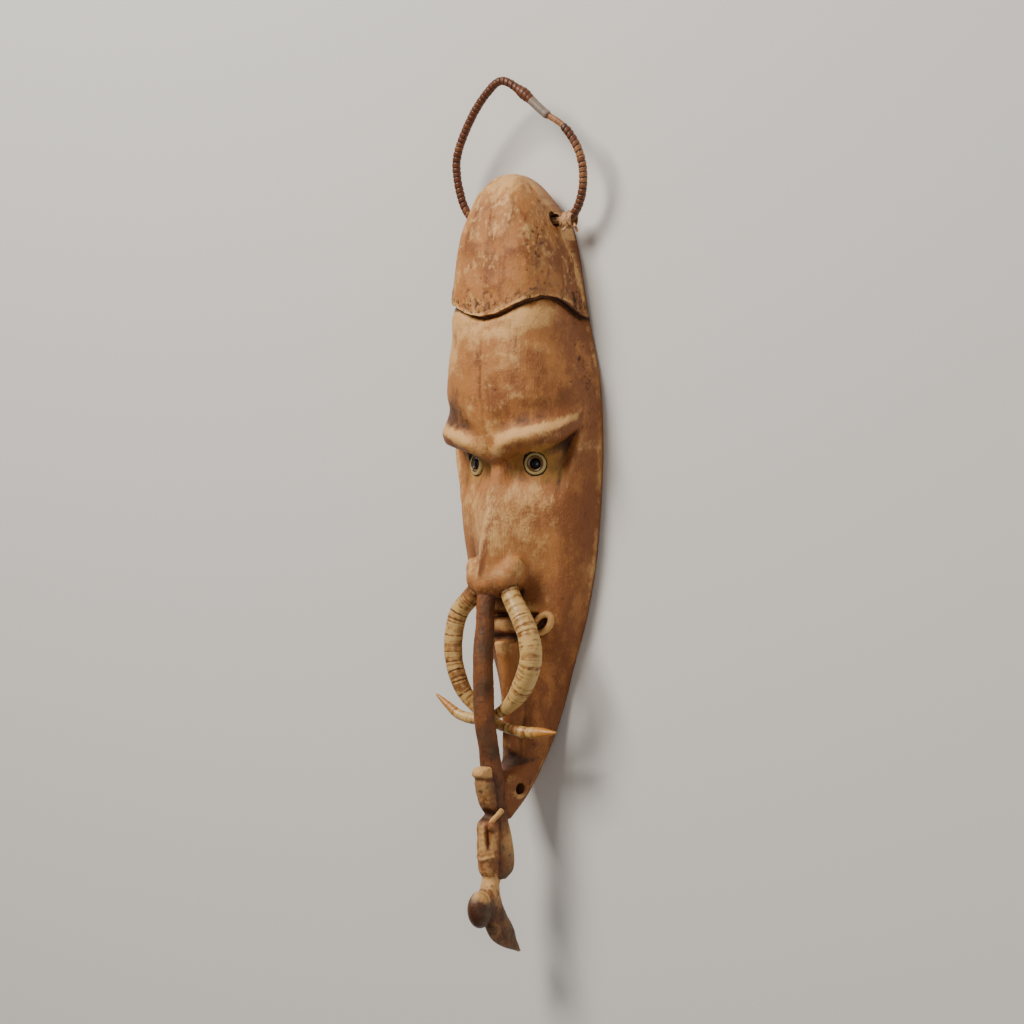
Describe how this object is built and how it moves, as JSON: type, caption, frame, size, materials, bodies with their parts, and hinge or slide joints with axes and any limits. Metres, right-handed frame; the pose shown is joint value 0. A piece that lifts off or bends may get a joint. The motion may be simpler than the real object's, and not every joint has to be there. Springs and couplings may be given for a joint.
{
  "type": "carved wooden mask",
  "caption": "Long hollow carved wooden face mask with a capped forehead, shell eyes, curved nostril tusks, a trunk ending in a small bird, and a bent cane hanging hoop.",
  "frame": {"origin": "middle of the footprint on the plane that the mask's back rim rests on", "axes": "+Z out of the face, +Y from the chin to the top of the mask, +X to the mask's own left"},
  "size_m": [0.1348, 0.7036, 0.0881],
  "materials": {
    "carved_wood": "worn, ochre-rubbed carved wood",
    "tusk": "aged, stained tusk with growth rings",
    "shell": "worn, slightly glossy shell",
    "dark_gum": "dark glossy tree gum",
    "wound_cane": "smoke-darkened cane wound with split cane",
    "split_cane": "dry pale split cane"
  },
  "bodies": {
    "root": {"mask": "carved_wood", "left_tusk": "tusk", "right_tusk": "tusk", "left_eye_shell": "shell", "right_eye_shell": "shell", "left_eye_pupil": "dark_gum", "right_eye_pupil": "dark_gum", "handle_hoop": "wound_cane", "left_lashing": "split_cane", "right_lashing": "split_cane"}
  },
  "joints": []
}
